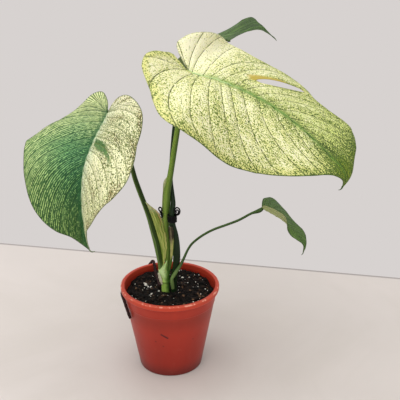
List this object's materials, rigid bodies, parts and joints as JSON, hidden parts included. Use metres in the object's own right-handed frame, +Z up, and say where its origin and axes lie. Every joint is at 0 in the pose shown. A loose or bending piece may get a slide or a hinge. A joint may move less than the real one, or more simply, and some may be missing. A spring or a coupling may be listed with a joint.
{
  "type": "potted monstera",
  "caption": "Young variegated monstera with heart-shaped leaves on tall stalks, in a round plastic nursery pot filled with soil.",
  "frame": {"origin": "on the ground under the middle of the pot, on the pad in the middle of its base", "axes": "+Z up, -Y towards the front, where the two large leaves hang; +X to the right seen from the front"},
  "size_m": [0.3116, 0.2636, 0.3384],
  "materials": {
    "terracotta_plastic": "satin",
    "potting_mix": "rough",
    "stem": "satin",
    "stalk_green": "satin",
    "stalk_light": "satin",
    "stalk_dark": "satin",
    "blade_marbled": "satin",
    "blade_cream": "satin",
    "blade_green": "satin",
    "dried_sheath": "matte",
    "coated_wire": "satin",
    "root_bark": "rough"
  },
  "bodies": {
    "root": {"pot": "terracotta_plastic", "soil": "potting_mix", "stem": "stem", "petiole_left": "stalk_green", "petiole_centre": "stalk_light", "petiole_back": "stalk_dark", "petiole_small": "stalk_dark", "blade_left": "blade_marbled", "blade_top": "blade_cream", "blade_back": "blade_green", "blade_small": "blade_green", "dried_strip": "dried_sheath", "old_scale": "dried_sheath", "tie_wire": "coated_wire", "aerial_root": "root_bark"}
  },
  "joints": []
}
